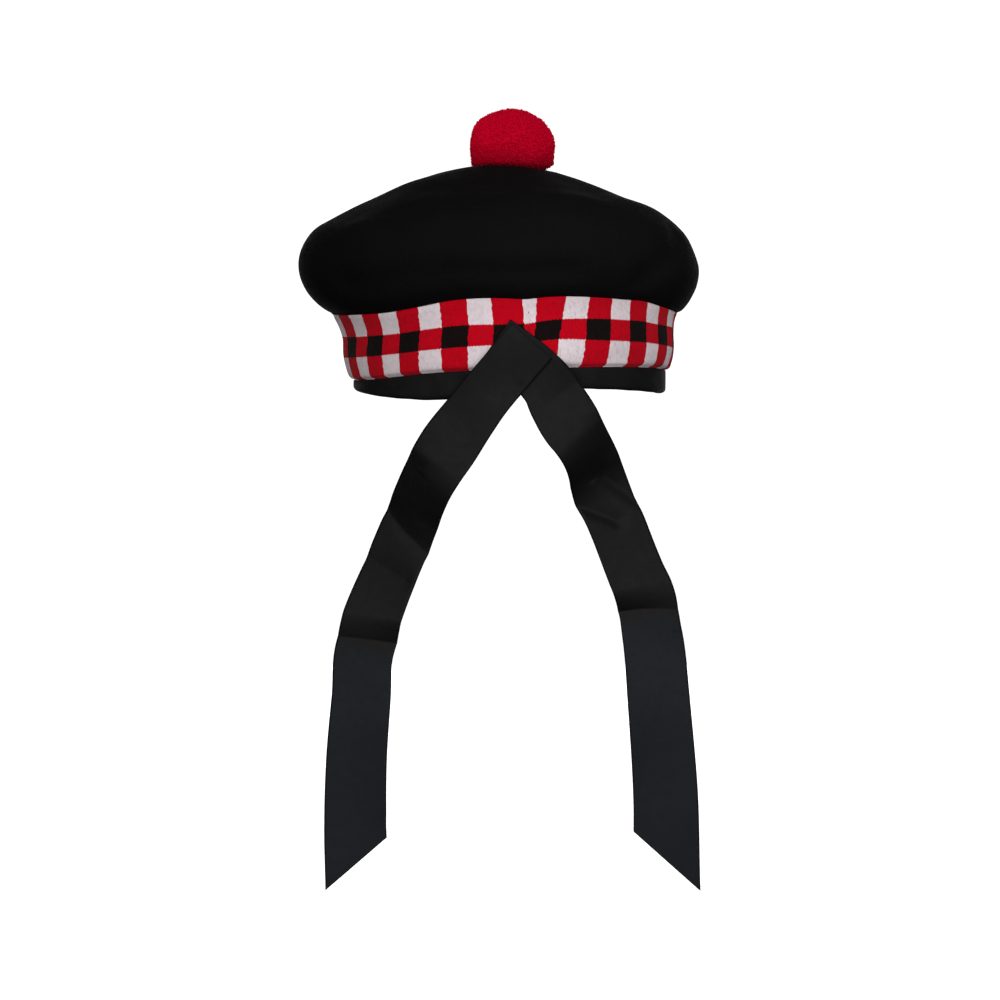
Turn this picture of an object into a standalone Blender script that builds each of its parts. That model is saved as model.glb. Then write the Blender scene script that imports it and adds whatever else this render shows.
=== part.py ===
"""Balmoral bonnet: felted crown, wool toorie, diced knit band, bound rim and two ribbon tails.

Metres, +Z up. The origin is the middle of the rim, where a head sits in the bonnet.
The back of the bonnet, where the tails hang, faces -Y, with tail_right towards +X.
A turn is an angle round +Z in degrees, from the middle of the back, positive towards +X.
"""

import math
from collections import namedtuple

import bmesh
import bpy
import numpy as np
from mathutils import Vector

# Driving dimensions

BAND_WALL = 0.0026
BAND_BULGE = 0.0052
DICING_HEIGHT = 0.0366
BINDING_RADIUS = 0.0858
BAND_RADIUS = BINDING_RADIUS + BAND_BULGE
BINDING_HEIGHT = 0.0105
TAPE_WALL = 0.0010
CROWN_RADIUS = 0.1096
CROWN_RISE = 0.0774
CROWN_WALL = 0.0022
CROWN_SLUMP = 0.0022
DIMPLE_DEPTH = 0.0033
TOORIE_RADIUS = 0.0236
TOORIE_HEIGHT = 0.0362
TOORIE_SHIFT = 0.0022
LOCK_END = 0.0014
LOCK_COUNT = 120
VALLEY_DEPTH = 0.0013
RIBBON_WIDTH = 0.0320
RIBBON_WALL = 0.0010
TAIL_DROP = 0.2730
TAIL_SPREAD = 0.0810
TAIL_TOP = 0.0235
TIP_CUT = 0.0270
RIGHT_TIP_CUT = 0.0321
CLEARANCE = 0.0003

# Facets

SECTIONS_AROUND = 54
BEND_STEPS = 4
TAIL_STEPS = 38
HELD_STEPS = 16
TAIL_STRIPS = 4
SEAT_CORNERS = 12

# The rim, the binding's upper edge and the crown's seam round the bonnet
# rim and tape: heights as shares of BINDING_HEIGHT; seam: height above the tape as a share of DICING_HEIGHT

RimPlace = namedtuple("RimPlace", "turn rim tape seam")
RIM_LINE = [
    RimPlace(-135, 0.40, 1.35, 1.00),
    RimPlace(-90, 0.20, 0.70, 0.98),
    RimPlace(-52, -0.38, 0.56, 0.913),
    RimPlace(-40, -0.53, 0.64, 0.892),
    RimPlace(-28, -0.60, 0.74, 0.923),
    RimPlace(-17, -0.50, 0.80, 0.979),
    RimPlace(0, -0.25, 0.88, 0.98),
    RimPlace(6, -0.20, 0.91, 0.959),
    RimPlace(14, -0.14, 0.95, 0.985),
    RimPlace(32, -0.05, 1.04, 0.972),
    RimPlace(42, -0.05, 1.09, 0.948),
    RimPlace(50, -0.06, 1.12, 0.941),
    RimPlace(62, -0.07, 1.16, 0.882),
    RimPlace(90, 0.00, 1.17, 0.855),
    RimPlace(135, 0.50, 1.55, 0.97),
    RimPlace(180, 0.78, 1.75, 1.00),
]

# The knit above the tape: lift as a share of the height from tape to seam,
# bulge as a share of the way from the tucked radius to BAND_RADIUS, shift along X as a share of BAND_RADIUS

BandRow = namedtuple("BandRow", "lift bulge shift")
BAND_ROWS = [
    BandRow(1.00, 1.52, -0.018),
    BandRow(0.85, 1.21, -0.010),
    BandRow(0.66, 1.00, 0.000),
    BandRow(0.38, 0.95, 0.005),
    BandRow(0.22, 0.80, 0.009),
    BandRow(0.12, 0.65, 0.010),
    BandRow(0.05, 0.51, 0.010),
    BandRow(0.022, 0.36, 0.009),
]

# The crown's upper side: reach as a share of CROWN_RADIUS, rise as a share of the height from seam to top,
# shift along X as a share of CROWN_RADIUS

CrownRow = namedtuple("CrownRow", "reach rise shift")
CROWN_TOP = [
    CrownRow(0.08, 1.000, 0.025),
    CrownRow(0.15, 1.000, 0.023),
    CrownRow(0.19, 0.992, -0.006),
    CrownRow(0.235, 0.975, -0.022),
    CrownRow(0.285, 0.956, -0.052),
    CrownRow(0.341, 0.930, -0.066),
    CrownRow(0.479, 0.861, -0.076),
    CrownRow(0.645, 0.765, -0.042),
    CrownRow(0.797, 0.672, -0.021),
    CrownRow(0.872, 0.600, -0.022),
    CrownRow(0.937, 0.525, -0.036),
    CrownRow(0.979, 0.425, -0.043),
    CrownRow(1.00, 0.310, -0.043),
]

# The crown's underside: reach as a share of the overhang from the band's top edge to CROWN_RADIUS

CROWN_UNDERSIDE = [
    CrownRow(0.946, 0.208, -0.043),
    CrownRow(0.735, 0.125, -0.041),
    CrownRow(0.45, 0.060, -0.031),
    CrownRow(0.18, 0.020, -0.020),
    CrownRow(0.03, 0.006, -0.018),
    CrownRow(0.00, 0.000, -0.018),
]

# Soft creases in the crown, each from one end to the other
# rise as above, depth and width as shares of CROWN_RISE

Crease = namedtuple("Crease", "turn_a rise_a turn_b rise_b depth width")
CREASES = [
    Crease(-48, 0.165, 20, 0.175, 0.032, 0.085),
    Crease(45, 0.14, 66, 0.50, 0.032, 0.085),
    Crease(-118, 0.34, -92, 0.20, 0.014, 0.14),
    Crease(128, 0.22, 168, 0.32, 0.016, 0.15),
]

# The tails' middle lines: down as a share of TAIL_DROP, across as a share of TAIL_SPREAD,
# stand as a share of BAND_RADIUS behind the axis, turn away from the viewer behind, outer edge first,
# width as a share of RIBBON_WIDTH, and hold: 1 where the ribbon lies on the band, 0 where it hangs free

TailRow = namedtuple("TailRow", "down across stand turn width hold")
LEFT_TAIL = [
    TailRow(0.000, 0.149, 1.00, 0, 0.86, 1),
    TailRow(0.064, -0.037, 0.98, 0, 0.86, 1),
    TailRow(0.105, -0.152, 0.95, 8, 0.88, 1),
    TailRow(0.143, -0.249, 0.935, 12, 0.93, 0.6),
    TailRow(0.197, -0.380, 0.925, 13, 1.00, 0),
    TailRow(0.240, -0.472, 0.912, 20, 1.00, 0),
    TailRow(0.262, -0.514, 0.885, 23, 1.00, 0),
    TailRow(0.300, -0.575, 0.812, 24, 1.00, 0),
    TailRow(0.335, -0.621, 0.745, 23, 1.00, 0),
    TailRow(0.362, -0.658, 0.712, 22, 1.00, 0),
    TailRow(0.400, -0.712, 0.700, 22, 1.00, 0),
    TailRow(0.450, -0.781, 0.700, 22, 1.00, 0),
    TailRow(0.536, -0.894, 0.725, 15, 1.00, 0),
    TailRow(0.591, -0.948, 0.755, 12, 1.00, 0),
    TailRow(0.680, -0.957, 0.775, 11, 1.00, 0),
    TailRow(0.806, -0.984, 0.77, 6, 1.01, 0),
    TailRow(0.934, -0.991, 0.76, 2, 1.025, 0),
    TailRow(1.000, -0.986, 0.76, 0, 1.025, 0),
]
RIGHT_TAIL = [
    TailRow(0.000, -0.086, 1.00, 0, 0.86, 1),
    TailRow(0.048, 0.137, 0.98, 0, 0.86, 1),
    TailRow(0.083, 0.252, 0.96, 3, 0.90, 1),
    TailRow(0.116, 0.316, 0.945, 6, 0.965, 0.8),
    TailRow(0.163, 0.412, 0.93, 15, 1.01, 0.1),
    TailRow(0.180, 0.450, 0.918, 20, 0.99, 0),
    TailRow(0.200, 0.490, 0.885, 23, 0.98, 0),
    TailRow(0.232, 0.542, 0.815, 23, 1.00, 0),
    TailRow(0.256, 0.572, 0.768, 21, 1.015, 0),
    TailRow(0.278, 0.601, 0.740, 20, 1.02, 0),
    TailRow(0.334, 0.684, 0.715, 20, 1.00, 0),
    TailRow(0.442, 0.827, 0.700, 19, 1.00, 0),
    TailRow(0.504, 0.916, 0.725, 12, 1.00, 0),
    TailRow(0.557, 0.940, 0.755, 7, 1.01, 0),
    TailRow(0.674, 0.970, 0.775, 2, 1.025, 0),
    TailRow(0.872, 1.018, 0.77, 0, 1.065, 0),
    TailRow(0.995, 1.027, 0.76, 0, 1.08, 0),
]
SLANT_REACH = 0.14
HELD_PART = 0.16

# The toorie's form: reach and shift along X as shares of TOORIE_RADIUS, rise as a share of TOORIE_HEIGHT

BunRow = namedtuple("BunRow", "reach rise shift")
BUN = [
    BunRow(0.74, 0.000, 0.010),
    BunRow(0.955, 0.055, 0.018),
    BunRow(0.995, 0.140, 0.026),
    BunRow(1.00, 0.250, 0.022),
    BunRow(1.01, 0.370, 0.018),
    BunRow(0.98, 0.520, 0.010),
    BunRow(0.895, 0.670, -0.024),
    BunRow(0.69, 0.820, -0.042),
    BunRow(0.39, 0.940, -0.060),
    BunRow(0.19, 0.985, -0.060),
    BunRow(0.00, 1.000, -0.060),
]
LOWEST_LOCK = 0.12
DIMPLE_EDGE = (0.72, 1.2)
HEART_RISE = 0.42
GOLDEN_TURN = 137.508

# Finishes: colour, roughness

WOOL_ROUGHNESS = 0.95
CLOTH_ROUGHNESS = 0.80
FELT_BLACK = ((0.0040, 0.0040, 0.0042), WOOL_ROUGHNESS)
KNIT_RED = ((0.4200, 0.0050, 0.0080), WOOL_ROUGHNESS)
TAPE_BLACK = ((0.0060, 0.0055, 0.0056), CLOTH_ROUGHNESS)
WOOL_RED = ((0.3900, 0.0030, 0.0110), WOOL_ROUGHNESS)
RIBBON_BLACK = ((0.0100, 0.0105, 0.0115), CLOTH_ROUGHNESS)

TURNS = [360 * i / SECTIONS_AROUND - 180 for i in range(SECTIONS_AROUND)]


def smooth(rows, key, value, at, loop=0.0):
    """One column of a table read against another on a smooth curve; with a loop, the curve is closed."""
    places = np.array([getattr(row, key) for row in rows], float)
    values = np.array([getattr(row, value) for row in rows], float)
    if loop:
        places = np.concatenate([places - loop, places, places + loop])
        values = np.tile(values, 3)
    slopes = np.gradient(values, places)
    k = int(np.clip(np.searchsorted(places, at) - 1, 0, len(places) - 2))
    span = places[k + 1] - places[k]
    t = min(max((at - places[k]) / span, 0.0), 1.0)
    rise = values[k] * (1 + 2 * t) * (1 - t) ** 2 + values[k + 1] * t * t * (3 - 2 * t)
    return float(rise + span * (slopes[k] * t * (1 - t) ** 2 - slopes[k + 1] * t * t * (1 - t)))


def ease(low, high, at):
    """0 up to low, 1 from high on, smooth between."""
    t = min(max((at - low) / (high - low), 0.0), 1.0)
    return t * t * (3 - 2 * t)


def around(turn, radius, shift, height):
    """The point at this turn on a ring of this radius, whose middle is shifted along X."""
    angle = math.radians(turn)
    return Vector((shift + radius * math.sin(angle), -radius * math.cos(angle), height))


def rim_height(turn):
    return BINDING_HEIGHT * smooth(RIM_LINE, "turn", "rim", turn, 360)


def tape_height(turn):
    return BINDING_HEIGHT * smooth(RIM_LINE, "turn", "tape", turn, 360)


def seam_height(turn):
    return tape_height(turn) + DICING_HEIGHT * smooth(RIM_LINE, "turn", "seam", turn, 360)


SEAM_LEVEL = sum(seam_height(turn) for turn in TURNS) / SECTIONS_AROUND
CROWN_HEIGHT = SEAM_LEVEL + CROWN_RISE
TUCKED_RADIUS = BINDING_RADIUS - TAPE_WALL - CLEARANCE
FOLD_RADIUS = BAND_WALL / 2 + CLEARANCE + TAPE_WALL
FOLD_MIDDLE = BINDING_RADIUS - FOLD_RADIUS
RIM_SHIFT = BAND_ROWS[-1].shift * BAND_RADIUS


def knit_radius(row):
    return TUCKED_RADIUS + row.bulge * (BAND_RADIUS - TUCKED_RADIUS)


def skin(name, rings, closed, wall, side, collection, finish, middle=None):
    """A wall lofted through rings of points: closed rings go round the bonnet, open ones lie across a ribbon.

    The rings run down the outer side. side -1 thickens the wall inwards, and 1 outwards.
    """
    bm = bmesh.new()
    grid = [[bm.verts.new(point) for point in ring] for ring in rings]
    count = len(rings[0])
    for upper, lower in zip(grid, grid[1:]):
        for i in range(count if closed else count - 1):
            j = (i + 1) % count
            bm.faces.new((upper[i], lower[i], lower[j], upper[j]))
    if middle is not None:
        centre = bm.verts.new(middle)
        for i in range(count):
            bm.faces.new((centre, grid[0][i], grid[0][(i + 1) % count]))
    obj = finished(name, bm, collection, finish)
    thick = obj.modifiers.new("wall", "SOLIDIFY")
    thick.thickness = wall
    thick.offset = side
    thick.use_even_offset = True
    thick.use_quality_normals = True
    return obj


def finished(name, bm, collection, finish):
    """The object of this name from a bmesh, with smooth shading and its own material."""
    mesh = bpy.data.meshes.new(name)
    bm.to_mesh(mesh)
    bm.free()
    mesh.shade_smooth()
    mesh.set_sharp_from_angle(angle=math.radians(50))
    obj = bpy.data.objects.new(name, mesh)
    collection.objects.link(obj)
    colour, roughness = finish
    material = bpy.data.materials.new(name)
    material.use_nodes = True
    shader = material.node_tree.nodes["Principled BSDF"]
    shader.inputs["Base Color"].default_value = (*colour, 1)
    shader.inputs["Roughness"].default_value = roughness
    shader.inputs["Metallic"].default_value = 0
    mesh.materials.append(material)
    return obj


def crease_depth(turn, rise):
    """How far the soft creases draw the crown's wall in at this place."""
    depth = 0.0
    for crease in CREASES:
        run = np.array([math.radians(crease.turn_b - crease.turn_a), crease.rise_b - crease.rise_a])
        here = np.array([math.radians(turn - crease.turn_a), rise - crease.rise_a])
        along = min(max(float(here @ run / (run @ run)), 0.0), 1.0)
        away = float(np.linalg.norm(here - along * run)) / crease.width
        depth += CROWN_RISE * crease.depth * math.exp(-away * away)
    return depth


def crown_point(turn, row, radius):
    seam = seam_height(turn) + CLEARANCE
    height = seam + row.rise * (CROWN_HEIGHT - seam)
    height -= CROWN_SLUMP * math.sin(math.radians(turn)) * 6.75 * row.rise * (1 - row.rise) ** 2
    shift = row.shift * CROWN_RADIUS
    place = around(turn, radius - crease_depth(turn, row.rise) * ease(0.0, 0.1, row.rise), shift, height)
    from_toorie = math.hypot(place.x - TOORIE_SHIFT, place.y) / TOORIE_RADIUS
    place.z -= DIMPLE_DEPTH * (1 - ease(*DIMPLE_EDGE, from_toorie))
    return place


def make_crown(collection):
    lip = knit_radius(BAND_ROWS[0])
    rings = [[crown_point(turn, row, row.reach * CROWN_RADIUS) for turn in TURNS] for row in CROWN_TOP]
    for row in CROWN_UNDERSIDE:
        radius = lip + row.reach * (CROWN_RADIUS - lip)
        rings.append([crown_point(turn, row, radius) for turn in TURNS])
    middle = (TOORIE_SHIFT, 0, CROWN_HEIGHT - DIMPLE_DEPTH)
    skin("crown", rings, True, CROWN_WALL, -1, collection, FELT_BLACK, middle)


def make_band(collection):
    rings = []
    for row in BAND_ROWS:
        ring = []
        for turn in TURNS:
            tape = tape_height(turn)
            height = tape + row.lift * (seam_height(turn) - tape)
            ring.append(around(turn, knit_radius(row), row.shift * BAND_RADIUS, height))
        rings.append(ring)
    rings.append([around(turn, TUCKED_RADIUS, RIM_SHIFT, tape_height(turn) + CLEARANCE) for turn in TURNS])
    hem = FOLD_RADIUS - CLEARANCE
    rings.append([around(turn, TUCKED_RADIUS, RIM_SHIFT, rim_height(turn) + hem) for turn in TURNS])
    skin("diced_band", rings, True, BAND_WALL, -1, collection, KNIT_RED)


def make_binding(collection):
    rings = [[around(turn, BINDING_RADIUS, RIM_SHIFT, tape_height(turn)) for turn in TURNS]]
    for i in range(BEND_STEPS + 1):
        bend = math.pi * i / BEND_STEPS
        radius = FOLD_MIDDLE + FOLD_RADIUS * math.cos(bend)
        drop = FOLD_RADIUS * (1 - math.sin(bend))
        rings.append([around(turn, radius, RIM_SHIFT, rim_height(turn) + drop) for turn in TURNS])
    rings.append([around(turn, FOLD_MIDDLE - FOLD_RADIUS, RIM_SHIFT, tape_height(turn)) for turn in TURNS])
    skin("binding", rings, True, TAPE_WALL, -1, collection, TAPE_BLACK)


def ribbon_seat(height):
    """The radius and shift at which a ribbon lies: on the knit above, easing in towards the rim below."""
    down = 1 - ease(-0.6 * BINDING_HEIGHT, 0.9 * DICING_HEIGHT, height)
    return BAND_RADIUS * 1.003 - down * (BAND_RADIUS - BINDING_RADIUS) * 0.8, down * RIM_SHIFT


def tail_ring(rows, side, layer, cut, down):
    """The points across a tail this far down it."""
    step = 1e-3

    def middle(at):
        return Vector((
            TAIL_SPREAD * smooth(rows, "down", "across", at),
            -BAND_RADIUS * smooth(rows, "down", "stand", at),
            TAIL_TOP - TAIL_DROP * at,
        ))

    last = rows[-1].down
    way = (middle(min(down + step, last)) - middle(max(down - step, 0))).normalized()
    across = Vector((-way.z, 0, way.x)).normalized()
    outward = way.cross(across).normalized()
    turn = math.radians(smooth(rows, "down", "turn", down))
    across = across * math.cos(turn) - outward * side * math.sin(turn)
    hold = min(max(smooth(rows, "down", "hold", down), 0.0), 1.0)
    width = RIBBON_WIDTH * smooth(rows, "down", "width", down)
    slant = ease(1 - SLANT_REACH, 1.0, down / last) * cut
    ring = []
    for i in range(TAIL_STRIPS + 1):
        share = i / TAIL_STRIPS - 0.5
        point = middle(down) + across * width * share + way * slant * share * side
        radius, shift = ribbon_seat(point.z)
        seat = radius + CLEARANCE + layer * (RIBBON_WALL + CLEARANCE)
        laid = -math.sqrt(max(seat**2 - (point.x - shift) ** 2, 0.0))
        point.y += hold * (laid - point.y)
        ring.append(point)
    return ring


def make_tail(name, rows, side, layer, cut, collection):
    held = [HELD_PART * i / HELD_STEPS for i in range(HELD_STEPS)]
    hanging = np.linspace(HELD_PART, rows[-1].down, TAIL_STEPS - HELD_STEPS + 1)
    rings = [tail_ring(rows, side, layer, cut, down) for down in [*held, *hanging]]
    skin(name, rings, False, RIBBON_WALL, 1, collection, RIBBON_BLACK)


def make_toorie(collection):
    """A wool ball, flat where it sits in the dimple: locks with cut ends, parted by valleys."""
    floor = CROWN_HEIGHT - DIMPLE_DEPTH + CLEARANCE
    heart = Vector((TOORIE_SHIFT, 0, floor + HEART_RISE * TOORIE_HEIGHT))
    bm = bmesh.new()
    for i in range(SEAT_CORNERS):
        corner = around(360 * i / SEAT_CORNERS, BUN[0].reach * TOORIE_RADIUS, TOORIE_SHIFT, floor)
        bm.verts.new(corner)
    for i in range(LOCK_COUNT):
        rise = 1 - (i + 0.5) / LOCK_COUNT * (1 - LOWEST_LOCK)
        reach = TOORIE_RADIUS * smooth(BUN, "rise", "reach", rise)
        lean = TOORIE_SHIFT + TOORIE_RADIUS * smooth(BUN, "rise", "shift", rise)
        bm.verts.new(around(i * GOLDEN_TURN, reach, lean, floor + rise * TOORIE_HEIGHT))
    bmesh.ops.convex_hull(bm, input=bm.verts)
    corners = {vert.co.to_tuple() for vert in bm.verts}
    bmesh.ops.subdivide_edges(bm, edges=bm.edges, cuts=1)
    valleys = {vert for vert in bm.verts if vert.co.to_tuple() not in corners}
    between = [face for face in bm.faces if valleys.issuperset(face.verts)]
    for vert in valleys:
        vert.co += (heart - vert.co).normalized() * VALLEY_DEPTH
    bmesh.ops.poke(bm, faces=between, offset=-0.5 * VALLEY_DEPTH, center_mode="MEAN")
    ends = [vert for vert in bm.verts if vert.co.to_tuple() in corners and vert.co.z > floor + CLEARANCE]
    bmesh.ops.bevel(bm, geom=ends, offset=LOCK_END, affect="VERTICES", segments=1)
    bmesh.ops.recalc_face_normals(bm, faces=bm.faces)
    finished("toorie", bm, collection, WOOL_RED)


def new_collection(name):
    collection = bpy.data.collections.new(name)
    bpy.context.scene.collection.children.link(collection)
    return collection


def main():
    for obj in list(bpy.data.objects):
        bpy.data.objects.remove(obj)
    bonnet = new_collection("balmoral_bonnet")
    make_crown(bonnet)
    make_band(bonnet)
    make_binding(bonnet)
    make_toorie(bonnet)
    make_tail("tail_left", LEFT_TAIL, -1, 1, TIP_CUT, bonnet)
    make_tail("tail_right", RIGHT_TAIL, 1, 0, RIGHT_TIP_CUT, bonnet)


main()
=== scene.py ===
"""Looks of the balmoral bonnet: felt crown, knit dicing, taped rim, wool toorie and ribbon tails.

Metres, +Z up. The origin is the middle of the rim, and the back of the bonnet faces -Y.
A turn is an angle round +Z in degrees, from the middle of the back, positive towards +X.
"""

import math
from collections import namedtuple

import bpy
import numpy as np
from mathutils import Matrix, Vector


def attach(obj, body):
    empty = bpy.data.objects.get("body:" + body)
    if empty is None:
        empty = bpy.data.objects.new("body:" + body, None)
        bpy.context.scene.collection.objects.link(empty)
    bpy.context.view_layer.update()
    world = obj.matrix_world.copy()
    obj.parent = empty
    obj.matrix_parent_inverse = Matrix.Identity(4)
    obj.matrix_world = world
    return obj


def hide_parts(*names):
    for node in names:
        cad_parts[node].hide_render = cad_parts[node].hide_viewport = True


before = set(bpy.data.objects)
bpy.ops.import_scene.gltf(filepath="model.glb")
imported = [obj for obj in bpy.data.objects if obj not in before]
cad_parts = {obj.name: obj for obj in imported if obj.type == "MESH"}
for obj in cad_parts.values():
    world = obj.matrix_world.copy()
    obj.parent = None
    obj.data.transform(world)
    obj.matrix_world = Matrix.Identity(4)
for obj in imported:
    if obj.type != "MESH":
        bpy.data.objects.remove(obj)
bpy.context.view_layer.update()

bl_info = {
    "name": "Balmoral Bonnet",
    "version": (1, 0, 0),
    "blender": (4, 5, 0),
    "location": "3D View > Sidebar > Bonnet",
    "description": "Makes a balmoral bonnet with a diced band, a toorie and ribbon tails",
    "category": "Add Mesh",
}

BODY = "root"


def table(columns, *rows):
    """A table of numbers whose columns are read by name."""
    return namedtuple("Table", columns)(*np.array(rows, float).T)


# Round the bonnet: the heights of the rim and of the tape's upper edge as shares of the binding's
# height, and the seam's height above the tape as a share of the dicing's

RIM_LINE = table(
    "turn rim tape seam",
    (-135, 0.4, 1.35, 1),
    (-90, 0.2, 0.7, 0.98),
    (-52, -0.38, 0.56, 0.913),
    (-40, -0.53, 0.64, 0.892),
    (-28, -0.6, 0.74, 0.923),
    (-17, -0.5, 0.8, 0.979),
    (0, -0.25, 0.88, 0.98),
    (6, -0.2, 0.91, 0.959),
    (14, -0.14, 0.95, 0.985),
    (32, -0.05, 1.04, 0.972),
    (42, -0.05, 1.09, 0.948),
    (50, -0.06, 1.12, 0.941),
    (62, -0.07, 1.16, 0.882),
    (90, 0, 1.17, 0.855),
    (135, 0.5, 1.55, 0.97),
    (180, 0.78, 1.75, 1),
)

# The knit above the tape: lift as a share of the height from tape to seam, bulge as a share of the way
# from the tucked radius to the band's, shift along X as a share of the band's radius

BAND_ROWS = table(
    "lift bulge shift",
    (0, 0, 0.009),
    (0.022, 0.36, 0.009),
    (0.05, 0.51, 0.01),
    (0.12, 0.65, 0.01),
    (0.22, 0.8, 0.009),
    (0.38, 0.95, 0.005),
    (0.66, 1, 0),
    (0.85, 1.21, -0.01),
    (1, 1.52, -0.018),
)

# The two lines between the rows of checks: heights as shares of the height from tape to seam

CHECK_LINES = table(
    "turn low high",
    (-70, 0.343, 0.669),
    (-38, 0.345, 0.667),
    (-12, 0.333, 0.642),
    (0, 0.345, 0.635),
    (12, 0.392, 0.675),
    (32, 0.383, 0.702),
    (60, 0.375, 0.705),
    (75, 0.375, 0.73),
    (120, 0.333, 0.667),
    (240, 0.333, 0.667),
)

# The crown's upper side: reach and shift as shares of its radius,
# rise as a share of the height from seam to top

CROWN_TOP = table(
    "reach rise shift",
    (0, 1, 0.02),
    (0.08, 1, 0.02),
    (0.15, 1, 0.014),
    (0.19, 0.992, -0.006),
    (0.235, 0.975, -0.022),
    (0.285, 0.956, -0.052),
    (0.341, 0.93, -0.066),
    (0.479, 0.861, -0.076),
    (0.645, 0.765, -0.042),
    (0.797, 0.672, -0.021),
    (0.872, 0.6, -0.022),
    (0.937, 0.525, -0.036),
    (0.979, 0.425, -0.043),
    (1, 0.31, -0.043),
)

# The crown's underside: reach as a share of the overhang from the band's top edge to the crown's radius

CROWN_UNDERSIDE = table(
    "reach rise shift",
    (0.946, 0.208, -0.043),
    (0.735, 0.125, -0.041),
    (0.45, 0.06, -0.031),
    (0.18, 0.02, -0.02),
    (0.03, 0.006, -0.018),
    (0, 0, -0.018),
)

# Soft creases in the crown, each from one end to the other: rise as above,
# depth and width as shares of the crown's rise

Crease = namedtuple("Crease", "turn_a rise_a turn_b rise_b depth width")
CREASES = [
    Crease(-48, 0.165, 20, 0.175, 0.032, 0.085),
    Crease(45, 0.14, 66, 0.5, 0.032, 0.085),
    Crease(-118, 0.34, -92, 0.2, 0.014, 0.14),
    Crease(128, 0.22, 168, 0.32, 0.016, 0.15),
]

# The dicing's check edges, counted round from the join at the back, with their turns at top and foot

CHECK_EDGES = table(
    "edge top foot",
    (-8, -72.9, -75.5),
    (-7, -62.6, -65.6),
    (-6, -53.8, -58.3),
    (-5, -45, -49.5),
    (-4, -37.3, -41.4),
    (-3, -28.9, -33),
    (-2, -21.3, -24),
    (-1, -12.3, -14.5),
    (0, -4.6, -5.8),
    (1, 5.3, 4.5),
    (2, 9.9, 7),
    (3, 19.6, 15),
    (4, 27.8, 25),
    (5, 36.4, 35.2),
    (6, 44.4, 44.6),
    (7, 53.1, 53.8),
    (8, 60.6, 61.2),
    (9, 69.1, 69.2),
    (10, 78, 76.5),
)
CHECKS_AROUND = 44
CHECK_ROWS = 3

# The tails' middle lines: down as a share of the drop, across as a share of the spread,
# stand as a share of the band's radius behind the axis, turn in degrees, outer edge first,
# width as a share of the ribbon's, and hold: 1 where the ribbon lies on the band, 0 where it hangs free

LEFT_TAIL = table(
    "down across stand turn width hold",
    (0, 0.149, 1, 0, 0.86, 1),
    (0.064, -0.037, 0.98, 0, 0.86, 1),
    (0.105, -0.152, 0.95, 8, 0.88, 1),
    (0.143, -0.249, 0.935, 12, 0.93, 0.6),
    (0.197, -0.38, 0.925, 13, 1, 0),
    (0.24, -0.472, 0.912, 20, 1, 0),
    (0.262, -0.514, 0.885, 23, 1, 0),
    (0.3, -0.575, 0.812, 24, 1, 0),
    (0.335, -0.621, 0.745, 23, 1, 0),
    (0.362, -0.658, 0.712, 22, 1, 0),
    (0.4, -0.712, 0.7, 22, 1, 0),
    (0.45, -0.781, 0.7, 22, 1, 0),
    (0.536, -0.894, 0.725, 15, 1, 0),
    (0.591, -0.948, 0.755, 12, 1, 0),
    (0.68, -0.957, 0.775, 11, 1, 0),
    (0.806, -0.984, 0.77, 6, 1.01, 0),
    (0.934, -0.991, 0.76, 2, 1.025, 0),
    (1, -0.986, 0.76, 0, 1.025, 0),
)
RIGHT_TAIL = table(
    "down across stand turn width hold",
    (0, -0.086, 1, 0, 0.86, 1),
    (0.048, 0.137, 0.98, 0, 0.86, 1),
    (0.083, 0.252, 0.96, 3, 0.9, 1),
    (0.116, 0.316, 0.945, 6, 0.965, 0.8),
    (0.163, 0.412, 0.93, 15, 1.01, 0.1),
    (0.18, 0.45, 0.918, 20, 0.99, 0),
    (0.2, 0.49, 0.885, 23, 0.98, 0),
    (0.232, 0.542, 0.815, 23, 1, 0),
    (0.256, 0.572, 0.768, 21, 1.015, 0),
    (0.278, 0.601, 0.74, 20, 1.02, 0),
    (0.334, 0.684, 0.715, 20, 1, 0),
    (0.442, 0.827, 0.7, 19, 1, 0),
    (0.504, 0.916, 0.725, 12, 1, 0),
    (0.557, 0.94, 0.755, 7, 1.01, 0),
    (0.674, 0.97, 0.775, 2, 1.025, 0),
    (0.872, 1.018, 0.77, 0, 1.065, 0),
    (0.995, 1.027, 0.76, 0, 1.08, 0),
)

# Folds pressed into the tails, each from one end to the other: down as above, share from -0.5 to 0.5
# across, depth and the reach above and below it in shares of the ribbon's width, a depth below 0
# standing proud. The first fold is the crease from which the cloth is measured.

Fold = namedtuple("Fold", "down_a share_a down_b share_b depth above below")
LEFT_FOLDS = [
    Fold(0.573, -0.5, 0.558, 0.5, 0.165, 0.36, 0.9),
    Fold(0.345, -0.5, 0.382, 0.5, 0.032, 0.25, 0.1),
    Fold(0.43, -0.5, 0.441, 0.3, 0.03, 0.25, 0.16),
    Fold(0.262, -0.36, 0.33, -0.5, 0.04, 0.32, 0.24),
    Fold(0.232, -0.4, 0.229, 0.14, -0.01, 0.16, 0.09),
    Fold(0.01, -0.24, 0.052, 0.3, -0.014, 0.11, 0.06),
]
RIGHT_FOLDS = [
    Fold(0.496, -0.5, 0.517, 0.5, 0.17, 0.36, 0.9),
    Fold(0.26, 0.14, 0.324, 0.5, 0.068, 0.4, 0.15),
    Fold(0.283, -0.5, 0.342, 0.04, 0.07, 0.38, 0.13),
    Fold(0.107, -0.12, 0.1, 0.46, 0.018, 0.22, 0.12),
]

# The toorie's form: reach and shift along X as shares of its radius, rise as a share of its height

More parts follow.
